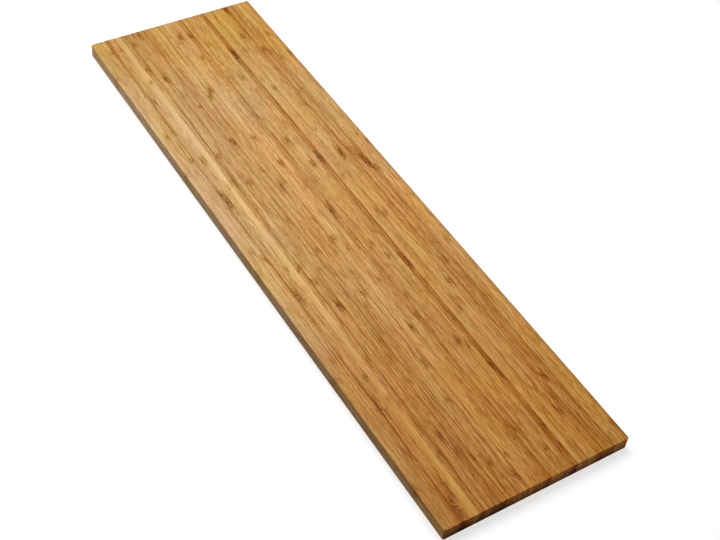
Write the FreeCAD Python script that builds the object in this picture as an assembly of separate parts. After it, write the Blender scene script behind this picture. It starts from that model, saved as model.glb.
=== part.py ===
"""Bamboo lumber: one board of full-length bamboo strips, set on edge and glued face to face.

The strips are laid up side by side as square blanks, and the finished board is then milled out of
the lay-up, with its upright corners rounded and its long and short edges eased. Each strip stays a
solid of its own, so the outer strips and the ends of all strips carry the milled shape.

Frame, in millimetres: the origin is the middle of the underside, +Y runs along the board, +X
across the strips, and +Z up through the thickness.
"""
import FreeCAD, Part
import math
import os

# The finished board
board_length = 914.4
board_width = 254.0
board_thickness = 19.05

# The strips it is glued up from
strip_thickness = 7.5

# How the glued board is milled
corner_radius = 3.0
arris_radius = 1.5


def same(a, b):
    """Whether two coordinates are the same place."""
    return math.isclose(a, b, abs_tol=1e-6)


def is_upright(edge):
    """Whether an edge runs straight up through the thickness."""
    start, end = edge.firstVertex().Point, edge.lastVertex().Point
    return same(start.x, end.x) and same(start.y, end.y)


def is_rim(edge):
    """Whether an edge goes round the top or the underside."""
    start, end = edge.firstVertex().Point, edge.lastVertex().Point
    return same(start.z, end.z) and (same(start.z, 0) or same(start.z, board_thickness))


def block(left, right):
    """A square block of the board's length and thickness, between two places across the width."""
    corner = FreeCAD.Vector(left, -board_length / 2, 0)
    return Part.makeBox(right - left, board_length, board_thickness, corner)


def milled_board():
    """The board's finished outside. The larger rounding is cut first, as the smaller follows it."""
    board = block(-board_width / 2, board_width / 2)
    roundings = [(corner_radius, is_upright), (arris_radius, is_rim)]
    for radius, is_rounded in sorted(roundings, key=lambda rounding: -rounding[0]):
        board = board.makeFillet(radius, [edge for edge in board.Edges if is_rounded(edge)])
    return board


def glue_lines():
    """Where the strips part across the width, with the board's two sides as the outermost lines.

    The inner strips keep their full thickness. The two outer ones share what is left, because the
    lay-up is ripped to width after gluing.
    """
    inner_strips = math.floor(board_width / strip_thickness) - 1
    first = -inner_strips * strip_thickness / 2
    inner_lines = [first + i * strip_thickness for i in range(inner_strips + 1)]
    return [-board_width / 2] + inner_lines + [board_width / 2]


def main():
    """Lay up the strips, mill them with the board, and write one file for each."""
    os.makedirs("parts", exist_ok=True)
    board = milled_board()
    lines = glue_lines()
    for number, (left, right) in enumerate(zip(lines, lines[1:]), start=1):
        strip = board.common(block(left, right)).Solids[0]
        strip.exportStep(f"parts/strip_{number:02d}.step")
        print(f"strip_{number:02d}: {strip.Volume:.1f} mm3, {len(strip.Faces)} faces")


main()
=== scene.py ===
"""Bamboo lumber: an edge-grain board of glued strips, lying on a pale studio floor.

The strips come from the frame as they are milled. This script gives each of them its own bamboo:
its tone, the side its rind faces, the fibres that run along it and the knuckles that cross it.
Lengths on the board are in millimetres, and lengths in the studio in metres.
"""
import logging
import math
from dataclasses import dataclass
from enum import Enum
from typing import Optional, Union

import bmesh
import bpy
from mathutils import Matrix, Vector


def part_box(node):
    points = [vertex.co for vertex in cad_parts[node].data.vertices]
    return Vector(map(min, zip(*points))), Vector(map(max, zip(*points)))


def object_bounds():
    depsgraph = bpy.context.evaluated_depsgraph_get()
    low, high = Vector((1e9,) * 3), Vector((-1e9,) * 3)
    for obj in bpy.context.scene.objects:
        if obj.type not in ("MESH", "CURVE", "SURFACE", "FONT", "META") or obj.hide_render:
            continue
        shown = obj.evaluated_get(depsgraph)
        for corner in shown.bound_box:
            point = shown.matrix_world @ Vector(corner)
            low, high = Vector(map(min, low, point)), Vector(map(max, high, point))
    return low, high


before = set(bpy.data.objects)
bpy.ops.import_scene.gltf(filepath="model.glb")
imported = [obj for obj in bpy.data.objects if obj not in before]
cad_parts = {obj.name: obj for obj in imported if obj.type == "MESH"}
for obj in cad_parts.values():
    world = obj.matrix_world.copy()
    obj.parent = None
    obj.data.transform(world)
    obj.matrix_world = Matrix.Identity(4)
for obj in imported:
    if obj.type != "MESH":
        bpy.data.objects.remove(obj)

CAD_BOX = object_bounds()
MM = 0.001
BOARD_SIDE = CAD_BOX[1][0] / MM

# The Mix node's colour sockets share their names with others, so they go by their places.
MIX_FIRST, MIX_SECOND, MIX_RESULT = 6, 7, 2

log = logging.getLogger("bamboo_board")

Colour = tuple[float, float, float]
Point = tuple[float, float, float]


class Value:
    """A number that changes over a surface: an output socket that takes Python's arithmetic."""

    def __init__(self, tree: "ShaderTree", socket: bpy.types.NodeSocket) -> None:
        """Wraps one output socket of a tree."""
        self.tree = tree
        self.socket = socket

    def __add__(self, other: "Number") -> "Value":
        """self + other."""
        return self.tree.math("ADD", self, other)

    __radd__ = __add__

    def __sub__(self, other: "Number") -> "Value":
        """self - other."""
        return self.tree.math("SUBTRACT", self, other)

    def __rsub__(self, other: "Number") -> "Value":
        """other - self."""
        return self.tree.math("SUBTRACT", other, self)

    def __mul__(self, other: "Number") -> "Value":
        """self * other."""
        return self.tree.math("MULTIPLY", self, other)

    __rmul__ = __mul__

    def __truediv__(self, other: "Number") -> "Value":
        """self / other."""
        return self.tree.math("DIVIDE", self, other)

    def __abs__(self) -> "Value":
        """The distance of the value from zero."""
        return self.tree.math("ABSOLUTE", self)


Number = Union[Value, float, int]
Paint = Union[bpy.types.NodeSocket, Colour]


@dataclass(frozen=True)
class Step:
    """A smooth step: it gives before up to where it starts, and after from where it stops."""

    start: float
    stop: float
    before: float = 0.0
    after: float = 1.0


class ShaderTree:
    """A material's node tree, with short ways to add what bamboo needs."""

    def __init__(self, name: str) -> None:
        """Makes an empty material.

        Args:
            name: what it is called.
        """
        self.material = bpy.data.materials.new(name)
        self.material.use_nodes = True
        self.tree = self.material.node_tree
        self.tree.nodes.clear()

    def add(
        self, kind: str, settings: Optional[dict] = None, inputs: Optional[dict] = None
    ) -> bpy.types.Node:
        """Makes a node.

        Args:
            kind: the node's type, without its ShaderNode prefix.
            settings: the node's own properties, which are set first.
            inputs: a number, a Value or a socket for each input, by its name or place.

        Returns:
            The new node.
        """
        node = self.tree.nodes.new("ShaderNode" + kind)
        for name, value in (settings or {}).items():
            setattr(node, name, value)
        for name, value in (inputs or {}).items():
            source = value.socket if isinstance(value, Value) else value
            if isinstance(source, bpy.types.NodeSocket):
                self.tree.links.new(source, node.inputs[name])
            else:
                node.inputs[name].default_value = source
        return node

    def math(self, operation: str, *numbers: Number) -> Value:
        """One Math node on one or two numbers."""
        node = self.add("Math", {"operation": operation}, dict(enumerate(numbers)))
        return Value(self, node.outputs[0])

    def chain(self, operation: str, numbers: list[Value]) -> Value:
        """Works one number out of several.

        Args:
            operation: the Math node's operation, such as ADD or MAXIMUM.
            numbers: what it is applied to, from the first to the last.

        Returns:
            The result.
        """
        result = numbers[0]
        for number in numbers[1:]:
            result = self.math(operation, result, number)
        return result

    def step(self, value: Value, step: Step) -> Value:
        """Takes a value through a smooth step.

        Args:
            value: the value that is stepped.
            step: where the step starts and stops, and what it gives.

        Returns:
            The stepped value.
        """
        limits = {"From Min": step.start, "From Max": step.stop, "To Min": step.before, "To Max": step.after}
        node = self.add("MapRange", {"interpolation_type": "SMOOTHSTEP"}, {"Value": value, **limits})
        return Value(self, node.outputs["Result"])

    def place(self) -> tuple[Value, Value, Value]:
        """Finds where a point is on the board.

        Returns:
            Its place across, along and up the board, in millimetres.
        """
        source = self.add("TexCoord").outputs["Object"]
        scaled = self.add("VectorMath", {"operation": "SCALE"}, {0: source, "Scale": 1 / MM})
        parts = self.add("SeparateXYZ", {}, {0: scaled.outputs[0]})
        return tuple(Value(self, output) for output in parts.outputs)

    def point(self, x: Number, y: Number, z: Number) -> bpy.types.NodeSocket:
        """A vector of three numbers."""
        return self.add("CombineXYZ", {}, {0: x, 1: y, 2: z}).outputs[0]

    def noise(self, x: Number, y: Number, z: Number, detail: float) -> Value:
        """Cloudy noise about a mean of 0, mostly between -1 and 1.

        Args:
            x, y, z: the place in the noise, where one unit is about as wide as a cloud.
            detail: how many finer layers of noise lie on the first.

        Returns:
            The noise.
        """
        node = self.add("TexNoise", {}, {"Vector": self.point(x, y, z), "Scale": 1.0, "Detail": detail})
        return (Value(self, node.outputs[0]) - 0.5) * 4.0

    def mix(self, share: Number, first: Paint, second: Paint, blend: str = "MIX") -> bpy.types.NodeSocket:
        """Mixes two colours.

        Args:
            share: how much of the second is mixed in, from 0 to 1.
            first: the colour that is there.
            second: the colour that is laid over it.
            blend: how they are mixed.

        Returns:
            The socket of the mixed colour.
        """
        settings = {"data_type": "RGBA", "blend_type": blend, "clamp_factor": True}
        node = self.add("Mix", settings, {0: share})
        for place, paint in ((MIX_FIRST, first), (MIX_SECOND, second)):
            if isinstance(paint, bpy.types.NodeSocket):
                self.tree.links.new(paint, node.inputs[place])
            else:
                node.inputs[place].default_value = (*paint, 1.0)
        return node.outputs[MIX_RESULT]

    def tint(self, share: Number, colour: Paint, tint: Paint) -> bpy.types.NodeSocket:
        """The colour multiplied by a tint, as far as share says."""
        return self.mix(share, colour, tint, "MULTIPLY")

    def finish(self, **inputs: object) -> bpy.types.Material:
        """Closes the tree with a Principled shader.

        Args:
            inputs: the shader's inputs, with underscores for the spaces in their names.

        Returns:
            The finished material.
        """
        named = {name.replace("_", " "): value for name, value in inputs.items()}
        shader = self.add("BsdfPrincipled", {}, named)
        self.add("OutputMaterial", {}, {"Surface": shader.outputs[0]})
        return self.material


@dataclass(frozen=True)
class Bamboo:
    """The colours of one strip: its soft ground tissue, its fibres, and its knuckles."""

    ground: Colour
    fibre: Colour
    knuckle: Colour


class Tone(Enum):
    """The tones that the strips of a steamed board come in."""

    BLOND = Bamboo((0.624, 0.422, 0.197), (0.440, 0.270, 0.105), (0.200, 0.096, 0.030))
    PALE = Bamboo((0.608, 0.391, 0.186), (0.356, 0.202, 0.074), (0.180, 0.086, 0.025))
    GOLDEN = Bamboo((0.626, 0.396, 0.181), (0.280, 0.142, 0.047), (0.160, 0.074, 0.020))
    HONEY = Bamboo((0.606, 0.368, 0.164), (0.262, 0.131, 0.042), (0.150, 0.068, 0.018))
    RUSSET = Bamboo((0.575, 0.331, 0.141), (0.240, 0.115, 0.036), (0.138, 0.060, 0.015))
    DARK = Bamboo((0.560, 0.310, 0.125), (0.210, 0.095, 0.028), (0.104, 0.042, 0.011))


class Rind(Enum):
    """The side of a strip that was the outside of the culm, where its fibres crowd together."""

    LEFT = -1
    RIGHT = 1


@dataclass(frozen=True)
class Mark:
    """How far a knuckle's core and its smear reach along the strip, and how dark it is."""

    core: float
    smear: float
    depth: float


SOFT = Mark(core=9.35, smear=18.0, depth=0.45)
FIRM = Mark(core=11.05, smear=22.0, depth=0.80)
LONG = Mark(core=23.8, smear=42.0, depth=1.00)


@dataclass(frozen=True)
class Strip:
    """One strip: its tone, its rind's side, its knuckles, and how dark its skin and fibres are.

    Each knuckle is given by its place from the back end.
    """

    tone: Tone
    rind: Rind
    soft: tuple[float, ...] = ()
    firm: tuple[float, ...] = ()
    long: tuple[float, ...] = ()
    skin: float = 0.4
    dense: float = 0.0


LAY_UP = (
    Strip(Tone.PALE, Rind.RIGHT, soft=(87, 307, 505, 687, 857)),
    Strip(Tone.PALE, Rind.RIGHT, soft=(226, 471, 665, 840), dense=0.04),
    Strip(Tone.GOLDEN, Rind.RIGHT, soft=(34, 660, 811), firm=(284, 485)),
    Strip(Tone.HONEY, Rind.LEFT, soft=(155,), long=(370, 557, 747, 895), skin=1.0, dense=-0.03),
    Strip(Tone.GOLDEN, Rind.LEFT, soft=(29, 512, 868), firm=(290, 700), skin=0.1, dense=-0.08),
    Strip(Tone.BLOND, Rind.LEFT, soft=(115, 350, 553, 742), dense=-0.06),
    Strip(Tone.HONEY, Rind.RIGHT, soft=(88, 341, 520, 678, 830), skin=1.0, dense=0.05),
    Strip(Tone.GOLDEN, Rind.LEFT, soft=(27, 546, 784), firm=(292,), skin=0.8, dense=0.02),
    Strip(Tone.HONEY, Rind.RIGHT, soft=(352,), firm=(117, 594, 809), skin=1.1, dense=0.05),
    Strip(Tone.HONEY, Rind.RIGHT, soft=(353, 532, 688, 836), firm=(12,), skin=0.9),
    Strip(Tone.HONEY, Rind.RIGHT, soft=(191, 440, 662, 850), skin=1.2, dense=0.05),
    Strip(Tone.HONEY, Rind.RIGHT, soft=(62, 502, 711), firm=(274,)),
    Strip(Tone.GOLDEN, Rind.RIGHT, soft=(41, 340, 610, 864)),
    Strip(Tone.GOLDEN, Rind.RIGHT, soft=(770,), firm=(176, 381, 588), skin=0.8, dense=-0.03),
    Strip(Tone.GOLDEN, Rind.RIGHT, soft=(555,), firm=(166, 369, 713, 891), skin=0.5),
    Strip(Tone.PALE, Rind.RIGHT, soft=(47, 691, 864), firm=(281, 491), skin=0.0, dense=-0.08),
    Strip(Tone.GOLDEN, Rind.RIGHT, soft=(510, 803), firm=(37, 340, 660)),
    Strip(Tone.GOLDEN, Rind.RIGHT, soft=(94, 391, 580, 757), dense=-0.04),
    Strip(Tone.RUSSET, Rind.RIGHT, soft=(240, 650, 854), firm=(43,), long=(451,), skin=0.9, dense=0.08),
    Strip(Tone.GOLDEN, Rind.RIGHT, soft=(152, 391, 615, 842), dense=0.05),
    Strip(Tone.GOLDEN, Rind.LEFT, soft=(70, 520, 704), firm=(303,), skin=0.1),
    Strip(Tone.GOLDEN, Rind.RIGHT, soft=(882,), firm=(160, 360, 548, 704)),
    Strip(Tone.GOLDEN, Rind.RIGHT, soft=(270, 505, 713), skin=0.2, dense=-0.02),
    Strip(Tone.DARK, Rind.RIGHT, soft=(852,), long=(113, 352, 569, 758), skin=1.2, dense=0.05),
    Strip(Tone.PALE, Rind.RIGHT, soft=(178, 400, 603, 783), skin=0.2, dense=0.03),
    Strip(Tone.HONEY, Rind.RIGHT, soft=(200, 663, 838), firm=(475,), skin=0.8, dense=-0.04),
    Strip(Tone.PALE, Rind.RIGHT, soft=(106, 302, 482, 649, 808), skin=0.0, dense=0.07),
    Strip(Tone.HONEY, Rind.RIGHT, firm=(75, 618, 845), long=(354,), skin=0.5, dense=-0.06),
    Strip(Tone.RUSSET, Rind.RIGHT, soft=(250, 470, 662, 830), firm=(8,), skin=1.3),
    Strip(Tone.HONEY, Rind.RIGHT, soft=(588,), firm=(117, 796), long=(364,), skin=0.7, dense=0.05),
    Strip(Tone.RUSSET, Rind.RIGHT, soft=(125, 625, 854), long=(387,), skin=1.0),
    Strip(Tone.GOLDEN, Rind.LEFT, soft=(141, 661, 901), firm=(404,), skin=0.1, dense=-0.06),
    Strip(Tone.GOLDEN, Rind.LEFT, soft=(86, 334, 559, 748), dense=-0.05),
    Strip(Tone.HONEY, Rind.RIGHT, soft=(137, 549, 731, 889), firm=(350,), skin=0.1, dense=0.04),
)


@dataclass(frozen=True)
class Figure:
    """The size of the clouds in one kind of figure: across a strip, up it and along it."""

    across: float
    up: float
    along: float
    detail: float = 2.0


@dataclass(frozen=True)
class Wander:
    """A slow change along a strip: over what length, in which lane of the noise, and how far."""

    length: float
    lane: float
    reach: float = 1.0
    detail: float = 2.0


@dataclass(frozen=True)
class Grain:
    """The figures that the grain of a strip is made of, and the bends of its fibres."""

    cloud: Figure = Figure(7.0, 9.0, 85.0)
    streak: Figure = Figure(0.9, 3.0, 260.0)
    mottle: Figure = Figure(2.6, 3.0, 7.0)
    wisp: Figure = Figure(1.1, 3.0, 55.0, detail=1.0)
    strand: Figure = Figure(0.7, 1.5, 24.0, detail=1.0)
    dash: Figure = Figure(0.6, 0.8, 9.0, detail=0.0)
    fine: Figure = Figure(0.3, 0.8, 14.0)
    pores: Step = Step(0.0, 0.9)
    bend: Wander = Wander(170.0, lane=0.0, reach=0.5, detail=1.0)
    roll: Wander = Wander(120.0, lane=40.0, reach=1.6, detail=1.0)
    bow: Figure = Figure(6.0, 7.0, 60.0, detail=1.0)
    swirl: Step = Step(0.0, 16.0, 0.5, 0.0)
    bundle_pitch: float = 1.15
    bundle_height: float = 1.5
    bundle_scatter: float = 0.9
    bundle_edge: Step = Step(0.16, 0.40, 1.0, 0.0)
    crowding: float = 0.05


@dataclass(frozen=True)
class Flanks:
    """The rind and the pith at a strip's two sides, in shares of its width from its middle."""

    rind: Step = Step(0.15, 0.48, 0.0, 0.8)
    rind_line: Step = Step(0.41, 0.47, 0.0, 1.5)
    pith: Step = Step(-0.48, -0.30, 1.0, 0.0)
    patches: Wander = Wander(90.0, lane=20.0)
    patchiness: Step = Step(-0.8, 0.6, 0.6, 1.1)
    scorch: Step = Step(1.6, 3.2, 0.0, 0.45)


@dataclass(frozen=True)
class Shares:
    """How much each part of the grain takes the bamboo from its ground colour to its fibres'."""

    everywhere: float = 0.47
    streak: float = 0.26
    wisp: float = 0.26
    strand: float = 0.31
    pores: float = 0.33
    fine: float = 0.15
    bundle: float = 0.13
    cloud: float = 0.04
    mottle: float = 0.05
    rind: float = 0.12
    skin: float = 0.20
    pith: float = -0.10
    contrast: float = 0.89
    ripe_contrast: float = 0.32


@dataclass(frozen=True)
class Knuckling:
    """How the tissue of the knuckles is broken up, and how they vary along a strip."""

    ragged: Figure = Figure(1.1, 2.0, 14.0, detail=1.0)
    ragged_reach: float = 3.2
    bowed_reach: float = 3.0
    speck: Figure = Figure(0.9, 1.3, 3.0, detail=1.0)
    speck_in_stripes: float = 0.3
    flecks: Step = Step(-0.3, 0.6, 0.15, 1.4)
    stripes: Step = Step(-1.0, 1.0, 0.1, 1.0)
    moods: Wander = Wander(50.0, lane=9.0)
    vigour: Step = Step(-0.7, 0.7, 0.5, 1.3)
    lean: Wander = Wander(40.0, lane=60.0, reach=4.0, detail=0.0)
    width: Step = Step(1.8, 5.0, 1.0, 0.25)
    core_share: float = 0.88
    smear_share: float = 0.34
    scorched: Colour = (0.86, 0.70, 0.46)
    scorched_share: float = 1.5


@dataclass(frozen=True)
class Glue:
    """The glue lines, which are darker where more glue was pressed out."""

    colour: Colour = (0.130, 0.050, 0.014)
    film: Step = Step(0.06, 0.375, 1.0, 0.0)
    share: float = 0.6
    lane_pitch: float = 3.1
    bleed_length: float = 160.0
    bleed: Step = Step(-0.5, 0.8, 0.15, 1.0)


@dataclass(frozen=True)
class Patch:
    """A tint on a part of the top, which fades out across the board and along it.

    Places across are counted from the board's middle. Places along are the distance to either side
    of the patch's middle, which is given from the back end.
    """

    tint: Colour
    across: Step
    along: Step
    middle: float = 0.0


# A painted sheen: the left of the top is lighter and bluer about the middle of the board's length.
LEFT_SHEEN = Patch(
    tint=(1.00, 1.09, 1.22),
    across=Step(-BOARD_SIDE, -10.0, 1.0, 0.0),
    along=Step(100.0, 340.0, 1.0, 0.0),
    middle=380.0,
)
DUSKY = Patch(
    tint=(0.955, 0.935, 0.915),
    across=Step(-110.0, -20.0, 1.0, 0.0),
    along=Step(120.0, 380.0),
    middle=380.0,
)
# A painted sheen: the right of the top is lighter towards the front.
FRONT_SHEEN = Patch(
    tint=(1.04, 1.075, 1.055),
    across=Step(-30.0, 110.0),
    along=Step(450.0, 700.0),
)


@dataclass(frozen=True)
class Drift:
    """The slow changes of colour from one part of the board to another, some of them painted sheen."""

    hue: Figure = Figure(14.0, 15.0, 80.0, detail=1.0)
    straw: Colour = (1.00, 1.01, 0.88)
    amber: Colour = (1.01, 0.94, 0.84)
    depth: Figure = Figure(38.0, 30.0, 120.0, detail=1.0)
    depth_lane: float = 30.0
    dull: Colour = (0.99, 1.00, 1.09)
    rich: Colour = (1.02, 1.00, 0.92)
    turn: Step = Step(-0.7, 0.7)
    # Riper towards the front; the paler, bluer back is partly the bamboo's colour and partly a painted
    # sheen.
    ripening_and_sheen: Step = Step(100.0, 950.0)
    ripening_and_sheen_slant: float = 0.25
    bleached_and_sheen: Colour = (1.00, 1.03, 1.22)
    ripened: Colour = (1.02, 0.87, 0.73)
    yellowing: Step = Step(-50.0, 220.0, 1.0, 0.0)
    yellowing_slant: float = -0.6
    yellowed: Colour = (0.98, 0.925, 0.71)
    patches: tuple[Patch, ...] = (LEFT_SHEEN, DUSKY, FRONT_SHEEN)


@dataclass(frozen=True)
class Sawing:
    """The board's eased edges and its sawn sides and ends, with painted highlight and shade on the arrises,
    painted shade towards the front of the sides and at the foot of the ends, and ends that are darker
    towards the left and with each strip's tone.

    Both edge_start and upright_stop are counted in arrises from the outside.
    """

    arris: float = 1.5
    edge_start: tuple[float, float] = (1.2, 0.8)
    upright_stop: tuple[float, float] = (0.8, 0.3)
    # A painted highlight on the near arrises, and painted shade on the far ones towards the back and the
    # right.
    near_arris_highlight: Colour = (1.16, 1.17, 1.22)
    far_arris_shade: Colour = (0.70, 0.73, 0.84)
    far: Step = Step(0.0, 0.2)
    # Painted shade on the lower arris, which curves down towards the floor.
    low_arris_shade: Colour = (0.62, 0.60, 0.62)
    low_start: float = 0.8
    low_stop: float = 1.2
    # The sides darken towards the front: partly riper bamboo, partly painted light falloff.
    side_tint: Colour = (1.03, 1.10, 1.40)
    ripe_shaded_side_tint: Colour = (0.545, 0.653, 0.90)
    side_ripening_and_falloff: Step = Step(-500.0, 800.0)
    end_tint: Colour = (0.61, 0.65, 0.86)
    # The ends darken with painted shade at their foot, darker towards the left, and with each strip's own
    # tone.
    end_shade_and_tone_colour: Colour = (0.02, 0.01, 0.004)
    left_darkening: Step = Step(-BOARD_SIDE, BOARD_SIDE * 0.2, 0.32, 0.0)
    foot_shade: Step = Step(0.0, 15.0, 0.45, 0.0)
    dark_end_by_skin: float = 0.12
    dark_end_by_chance: float = 0.09
    dark_end_by_tone: float = 0.9
    middle_tone: float = 0.412


@dataclass(frozen=True)
class Polish:
    """The gloss of the planed and the sawn faces, and the relief that the fibres leave on them."""

    gloss: Step = Step(-1.6, 1.6, 0.50, 0.64)
    sawn_roughness: float = 0.80
    specular: float = 0.25
    relief: float = 0.06
    relief_strength: float = 0.6
    fine: float = 0.25
    strand: float = 0.2
    bundle: float = -0.35
    mark: float = -0.5
    glue: float = -0.8


@dataclass
class PlanedStrip:
    """The bamboo of one strip, from its grain up to its finish."""

    name: str
    strip: Strip
    seed: float
    grain: Grain = Grain()
    flanks: Flanks = Flanks()
    shares: Shares = Shares()
    knuckling: Knuckling = Knuckling()
    glue: Glue = Glue()
    drift: Drift = Drift()
    sawing: Sawing = Sawing()
    polish: Polish = Polish()

    def __post_init__(self) -> None:
        """Reads where the strip is, lays out its coordinates and grows its grain."""
        low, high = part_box(self.name)
        self.left, self.right = low.x / MM, high.x / MM
        self.half_length = high.y / MM
        self.mid_height = high.z / MM / 2
        self.tree = ShaderTree("bamboo_" + self.name)
        self.x, self.y, self.z = self.tree.place()
        self.across = (self.x - (self.left + self.right) / 2) * self.strip.rind.value
        self.along = self.half_length - self.y
        self.flank = self.across / (self.right - self.left)
        self.grow()

    def figure(self, kind: Figure, across: Value, up: Value) -> Value:
        """Makes one kind of figure in the strip's own noise.

        Args:
            kind: the size of its clouds.
            across: the place across the fibres.
            up: the place up through them.

        Returns:
            The noise.
        """
        along = self.along / kind.along + self.seed
        return self.tree.noise(across / kind.across, up / kind.up, along, kind.detail)

    def wander(self, kind: Wander) -> Value:
        """A slow change along the strip."""
        lane = self.seed + kind.lane
        return self.tree.noise(self.along / kind.length, lane, 0.0, kind.detail) * kind.reach

    def board_figure(self, kind: Figure, lane: float = 0.0) -> Value:
        """Makes a figure that runs on from strip to strip.

        Args:
            kind: the size of its clouds.
            lane: where in the noise it lies.

        Returns:
            The noise.
        """
        x, z = self.x / kind.across + lane, self.z / kind.up
        return self.tree.noise(x, z, self.along / kind.along, kind.detail)

    def grow(self) -> None:
        """Works out the noises that the fibres, the knuckles and the relief are made of."""
        tree, grain = self.tree, self.grain
        ragged = self.figure(self.knuckling.ragged, self.across, self.z) * self.knuckling.ragged_reach
        bow = self.figure(grain.bow, self.across, self.z)
        self.reach = self.along + ragged + bow * self.knuckling.bowed_reach
        places = (*self.strip.soft, *self.strip.firm, *self.strip.long)
        nearest = tree.chain("MINIMUM", [abs(self.reach - at) for at in places])
        swirl = tree.step(nearest, grain.swirl)

        self.fibres = self.across + self.wander(grain.bend) + swirl * bow
        self.height = self.z + self.wander(grain.roll)
        self.cloud = self.figure(grain.cloud, self.across, self.z)
        self.streak = self.figure(grain.streak, self.fibres, self.height)
        self.mottle = self.figure(grain.mottle, self.across, self.z)
        self.wisp = self.figure(grain.wisp, self.fibres, self.height)
        self.strand = self.figure(grain.strand, self.fibres, self.height)
        self.dash = self.figure(grain.dash, self.fibres, self.height)
        self.fine = self.figure(grain.fine, self.fibres, self.height)

    def bundles(self) -> Value:
        """Finds the dark vascular bundles, which are dots on the ends and lines on the faces.

        Returns:
            1 in a bundle and 0 between them.
        """
        grain = self.grain
        crowded = self.fibres + self.fibres * self.fibres * grain.crowding
        across = crowded / grain.bundle_pitch + self.seed
        place = self.tree.point(across, self.height / grain.bundle_height, 0.0)
        cells = self.tree.add(
            "TexVoronoi",
            {"voronoi_dimensions": "2D"},
            {"Vector": place, "Scale": 1.0, "Randomness": grain.bundle_scatter},
        )
        return self.tree.step(Value(self.tree, cells.outputs["Distance"]), grain.bundle_edge)

    def knuckles(self) -> Value:
        """Draws the knuckles where the strip has them.

        Returns:
            How far they darken the bamboo, from 0 to 1.
        """
        tree, look = self.tree, self.knuckling
        speck = self.figure(look.speck, self.across, self.z)
        flecks = tree.step(speck, look.flecks)
        stripes = tree.step(self.strand + self.dash + speck * look.speck_in_stripes, look.stripes)
        vigour = tree.step(self.wander(look.moods), look.vigour)
        width = tree.step(abs(self.across - self.wander(look.lean)), look.width)
        marks = []
        for kind, places in ((SOFT, self.strip.soft), (FIRM, self.strip.firm), (LONG, self.strip.long)):
            if places:
                gap = tree.chain("MINIMUM", [abs(self.reach - at) for at in places])
                core = tree.step(gap, Step(0.0, kind.core, 1.0, 0.0)) * flecks * width
                smear = tree.step(gap, Step(0.0, kind.smear, 1.0, 0.0)) * stripes
                marks.append((core * look.core_share + smear * look.smear_share) * vigour * kind.depth)
        return tree.chain("MAXIMUM", marks)

    def glue_line(self) -> Value:
        """Draws the glue lines at the strip's sides, but not on the board's own sides.

        Returns:
            1 on a line where much glue was pressed out, and 0 off the lines.
        """
        tree, glue = self.tree, self.glue
        films = []
        for side in (self.left, self.right):
            if math.isclose(abs(side), BOARD_SIDE, abs_tol=0.01):
                continue
            flow = tree.noise(side / glue.lane_pitch, self.along / glue.bleed_length, 0.0, 2.0)
            films.append(tree.step(abs(self.x - side), glue.film) * tree.step(flow, glue.bleed))
        return tree.chain("MAXIMUM", films)

    def sides(self) -> tuple[Value, Value]:
        """Finds the rind and the pith, which come and go along the strip.

        Returns:
            How strong the rind's dark skin is, and how strong the soft pith is.
        """
        tree, flanks = self.tree, self.flanks
        patches = tree.step(self.wander(flanks.patches), flanks.patchiness)
        skin = tree.step(self.flank, flanks.rind) + tree.step(self.flank, flanks.rind_line)
        return skin * patches * self.strip.skin, tree.step(self.flank, flanks.pith) * patches

    def grown(self, bundle: Value, skin: Value, pith: Value, ripeness_and_sheen: Value) -> bpy.types.NodeSocket:
        """Colours the strip between its ground tissue and its fibres.

        Args:
            bundle: where the vascular bundles are.
            skin: where the rind's skin is.
            pith: where the pith is.
            ripeness_and_sheen: how ripe the bamboo is, with a painted sheen where it is least ripe, towards
                the back.

        Returns:
            The socket of the colour.
        """
        tree, shares, bamboo = self.tree, self.shares, self.strip.tone.value
        parts = (
            (self.streak, shares.streak),
            (self.wisp, shares.wisp),
            (self.strand, shares.strand),
            (tree.step(self.dash, self.grain.pores), shares.pores),
            (self.fine, shares.fine),
            (bundle, shares.bundle),
            (self.cloud, shares.cloud),
            (self.mottle, shares.mottle),
            (self.flank, shares.rind),
            (skin, shares.skin),
            (pith, shares.pith),
        )
        fibre = tree.chain("ADD", [part * share for part, share in parts])
        contrast = ripeness_and_sheen * shares.ripe_contrast + shares.contrast
        fibre = fibre * contrast + (shares.everywhere + self.strip.dense)
        return tree.mix(fibre, bamboo.ground, bamboo.fibre)

    def drifted(self, colour: Paint, ripeness_and_sheen: Value, top: Value) -> bpy.types.NodeSocket:
        """Lays the board's slow changes of colour over a strip, painted sheen among them.

        Args:
            colour: the strip's own colour.
            ripeness_and_sheen: how ripe the bamboo is, with a painted sheen where it is least ripe, towards
                the back.
            top: 1 on the top and the underside, and 0 on the upright faces.

        Returns:
            The socket of the changed colour.
        """
        tree, drift = self.tree, self.drift
        hue = tree.step(self.board_figure(drift.hue), drift.turn)
        colour = tree.tint(1.0, colour, tree.mix(hue, drift.straw, drift.amber))
        depth = tree.step(self.board_figure(drift.depth, drift.depth_lane), drift.turn)
        colour = tree.tint(1.0, colour, tree.mix(depth, drift.dull, drift.rich))
        # Paler at the back and riper at the front: partly the bamboo's colour, partly a painted sheen at the
        # back.
        colour = tree.tint(1.0, colour, tree.mix(ripeness_and_sheen, drift.bleached_and_sheen, drift.ripened))
        back = tree.step(self.along + self.x * drift.yellowing_slant, drift.yellowing)
        colour = tree.tint(back, colour, drift.yellowed)
        # Two of these patches are painted sheen, and one darkens the top.
        for patch in drift.patches:
            along = tree.step(abs(self.along - patch.middle), patch.along)
            share = tree.step(self.x, patch.across) * along * top
            colour = tree.tint(share, colour, patch.tint)
        return colour

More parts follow.
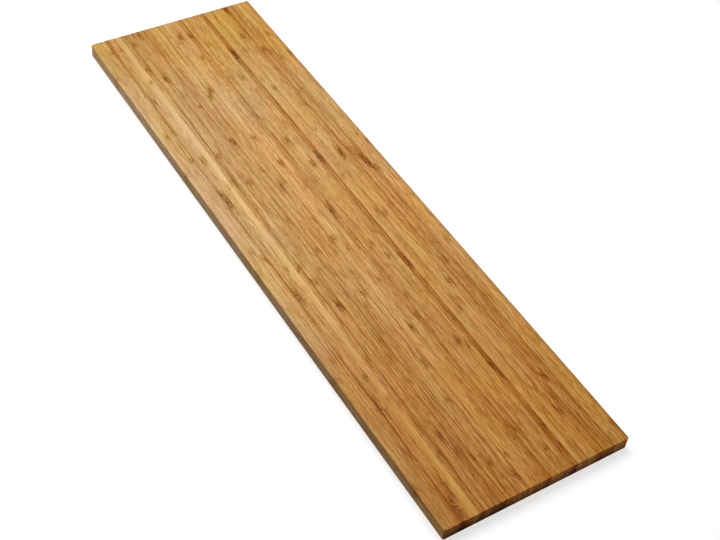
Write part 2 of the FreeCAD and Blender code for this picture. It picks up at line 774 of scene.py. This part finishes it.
    def outsides(self) -> tuple[Value, Value, Value]:
        """Finds the board's outer faces by where they lie.

        Returns:
            Masks of the upright sawn faces, of the two ends of the board, and of the eased edges.
        """
        tree, sawing = self.tree, self.sawing
        upright_limits = [self.mid_height - sawing.arris * share for share in sawing.upright_stop]
        end_limits = [self.half_length - sawing.arris * share for share in sawing.edge_start]
        side_limits = [BOARD_SIDE - sawing.arris * share for share in sawing.edge_start]
        upright = tree.step(abs(self.z - self.mid_height), Step(*upright_limits, 1.0, 0.0))
        end = tree.step(abs(self.y), Step(*end_limits))
        side = tree.step(abs(self.x), Step(*side_limits))
        return upright, end, tree.math("MAXIMUM", end, side) * (1 - upright)

    def sawn(self, colour: Paint, upright: Value, end: Value, arris: Value) -> bpy.types.NodeSocket:
        """Colours the eased edges and the sawn sides and ends, with painted highlight and shade on the
        arrises and painted shade on the sides and at the foot of the ends.

        Args:
            colour: the colour of the planed faces.
            upright: 1 on the upright faces.
            end: 1 at the board's two ends.
            arris: 1 on the eased edges.

        Returns:
            The socket of the colour.
        """
        tree, sawing = self.tree, self.sawing
        # Painted highlight on the near arrises, painted shade on the far ones.
        far = tree.step(self.x / BOARD_SIDE + self.y / self.half_length, sawing.far)
        tint = tree.mix(far, sawing.near_arris_highlight, sawing.far_arris_shade)
        half = self.mid_height
        # Painted shade on the lower arris.
        low = tree.step(self.z, Step(half * sawing.low_start, half * sawing.low_stop, 1.0, 0.0))
        colour = tree.tint(arris, colour, tree.mix(low, tint, sawing.low_arris_shade))
        # Darker towards the front of the sides: partly riper bamboo, partly painted light falloff.
        ripe_and_falloff = tree.step(self.along, sawing.side_ripening_and_falloff)
        side_tint = tree.mix(ripe_and_falloff, sawing.side_tint, sawing.ripe_shaded_side_tint)
        colour = tree.tint(upright, colour, tree.mix(end, side_tint, sawing.end_tint))

        paleness = self.strip.tone.value.ground[1] - sawing.middle_tone
        own = sawing.dark_end_by_skin * self.strip.skin - sawing.dark_end_by_tone * paleness
        own -= sawing.dark_end_by_chance * math.sin(self.seed)
        # Painted shade at the foot of the ends, a darkening towards the left, and each strip's own end tone.
        end_shade_and_tone = tree.step(self.x, sawing.left_darkening) + tree.step(self.z, sawing.foot_shade) + own
        return tree.mix(upright * end * end_shade_and_tone, colour, sawing.end_shade_and_tone_colour)

    def material(self) -> bpy.types.Material:
        """Puts the whole finish together: grain, drift, knuckles, glue lines, sawn faces and relief.

        Returns:
            The strip's material.
        """
        tree, polish = self.tree, self.polish
        bundle = self.bundles()
        skin, pith = self.sides()
        # How ripe the bamboo is, with a painted sheen where it is least ripe.
        ripeness_and_sheen = tree.step(self.along + self.x * self.drift.ripening_and_sheen_slant, self.drift.ripening_and_sheen)
        upright, end, arris = self.outsides()
        colour = self.grown(bundle, skin, pith, ripeness_and_sheen)
        colour = self.drifted(colour, ripeness_and_sheen, 1 - upright)

        mark = self.knuckles() + tree.step(skin, self.flanks.scorch)
        colour = tree.tint(mark * self.knuckling.scorched_share, colour, self.knuckling.scorched)
        colour = tree.mix(mark, colour, self.strip.tone.value.knuckle)
        glue = self.glue_line()
        colour = tree.mix(glue * self.glue.share, colour, self.glue.colour)
        colour = self.sawn(colour, upright, end, arris)

        height = self.fine * polish.fine + self.strand * polish.strand + bundle * polish.bundle
        height = height + mark * polish.mark + glue * polish.glue
        relief = {"Height": height, "Distance": polish.relief * MM, "Strength": polish.relief_strength}
        roughness = tree.step(self.fine + self.streak, polish.gloss)
        return tree.finish(
            Base_Color=colour,
            Roughness=tree.math("MAXIMUM", roughness, upright * polish.sawn_roughness),
            Normal=tree.add("Bump", {}, relief).outputs[0],
            Specular_IOR_Level=polish.specular,
        )


@dataclass
class GluedBoard:
    """The board: its strips from left to right, and how far apart their seeds are."""

    strips: tuple[Strip, ...] = LAY_UP
    seed_pitch: float = 7.3

    def build(self) -> None:
        """Dresses every strip of the lay-up."""
        for number, strip in enumerate(self.strips, start=1):
            name = f"strip_{number:02d}"
            material = PlanedStrip(name, strip, seed=number * self.seed_pitch).material()
            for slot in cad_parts[name].material_slots:
                slot.material = material
            log.info("%s: %s, %d nodes", name, strip.tone.name.lower(), len(material.node_tree.nodes))


@dataclass(frozen=True)
class PaleFloor:
    """The floor's finish, which glows a little so that it prints as white."""

    grey: float = 0.33
    roughness: float = 0.8
    glow: float = 0.69

    def material(self) -> bpy.types.Material:
        """Makes the floor's material.

        Returns:
            The material.
        """
        return ShaderTree("pale_floor").finish(
            Base_Color=(self.grey, self.grey, self.grey, 1.0),
            Roughness=self.roughness,
            Emission_Color=(1.0, 1.0, 1.0, 1.0),
            Emission_Strength=self.glow,
        )


@dataclass(frozen=True)
class Softbox:
    """A square light: where it hangs, what it is turned to, its side and its power in watts."""

    name: str
    place: Point
    target: Point
    size: float
    power: float


@dataclass
class Studio:
    """A pale floor, soft light over it, and the camera where the photograph was taken from."""

    floor_size: float = 40.0
    floor_drop: float = 0.0002
    floor_finish: PaleFloor = PaleFloor()
    sky_strength: float = 0.42
    key: Softbox = Softbox("key", (0.03, 0.27, 1.0), (0.01, 0.18, 0.0), size=0.8, power=12.9)
    focal_length: float = 65.33
    film_width: float = 36.0
    target: Point = (-0.0059, -0.0893, 0.0095)
    distance: float = 1.6332
    azimuth: float = 36.585
    elevation: float = 46.934
    roll: float = 6.968
    print_curve: tuple[tuple[float, float], ...] = (
        (0.05, 0.012),
        (0.10, 0.048),
        (0.20, 0.142),
        (0.30, 0.246),
        (0.45, 0.400),
        (0.65, 0.590),
        (0.80, 0.765),
    )

    def build(self) -> None:
        """Makes the floor, the lights and the camera."""
        self.floor()
        self.sky()
        self.softbox(self.key)
        self.camera()
        self.develop()

    def floor(self) -> None:
        """Lays a plain pale floor just under the board."""
        mesh = bpy.data.meshes.new("floor")
        shape = bmesh.new()
        bmesh.ops.create_grid(shape, x_segments=1, y_segments=1, size=self.floor_size / 2)
        bmesh.ops.translate(shape, verts=shape.verts, vec=(0.0, 0.0, -self.floor_drop))
        shape.to_mesh(mesh)
        shape.free()
        floor = bpy.data.objects.new("floor", mesh)
        bpy.context.scene.collection.objects.link(floor)
        mesh.materials.append(self.floor_finish.material())

    def sky(self) -> None:
        """Puts even white light all round."""
        world = bpy.data.worlds.new("studio")
        world.use_nodes = True
        background = world.node_tree.nodes["Background"]
        background.inputs["Color"].default_value = (1.0, 1.0, 1.0, 1.0)
        background.inputs["Strength"].default_value = self.sky_strength
        bpy.context.scene.world = world

    def softbox(self, softbox: Softbox) -> None:
        """Hangs a softbox.

        Args:
            softbox: where and how strong it is.
        """
        light = bpy.data.lights.new(softbox.name, "AREA")
        light.shape = "SQUARE"
        light.size = softbox.size
        light.energy = softbox.power
        lamp = bpy.data.objects.new(softbox.name, light)
        aim = Vector(softbox.target) - Vector(softbox.place)
        lamp.location = softbox.place
        lamp.rotation_euler = aim.to_track_quat("-Z", "Y").to_euler()
        lamp.visible_camera = False
        bpy.context.scene.collection.objects.link(lamp)

    def camera(self) -> None:
        """Sets up the camera, which looks down along the board from over its front left corner."""
        azimuth, elevation = math.radians(self.azimuth), math.radians(self.elevation)
        level = Vector((math.sin(azimuth), math.cos(azimuth), 0.0))
        forward = level * math.cos(elevation) - Vector((0.0, 0.0, math.sin(elevation)))
        roll = Matrix.Rotation(math.radians(self.roll), 3, "Z")
        turn = forward.to_track_quat("-Z", "Y").to_matrix() @ roll
        lens = bpy.data.cameras.new("photograph")
        lens.lens = self.focal_length
        lens.sensor_width = self.film_width
        camera = bpy.data.objects.new("photograph", lens)
        place = Vector(self.target) - forward * self.distance
        camera.matrix_world = Matrix.Translation(place) @ turn.to_4x4()
        bpy.context.scene.collection.objects.link(camera)
        bpy.context.scene.camera = camera

    def develop(self) -> None:
        """Prints the picture with deeper shadows and the whites as they are."""
        view = bpy.context.scene.view_settings
        view.view_transform = "Standard"
        view.use_curve_mapping = True
        combined = view.curve_mapping.curves[3]
        for shade, printed in self.print_curve:
            combined.points.new(shade, printed)
        view.curve_mapping.update()


def main() -> None:
    """Dresses the board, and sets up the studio."""
    logging.basicConfig(level=logging.INFO, format="%(name)s: %(message)s")
    GluedBoard().build()
    Studio().build()


if __name__ == "__main__":
    main()
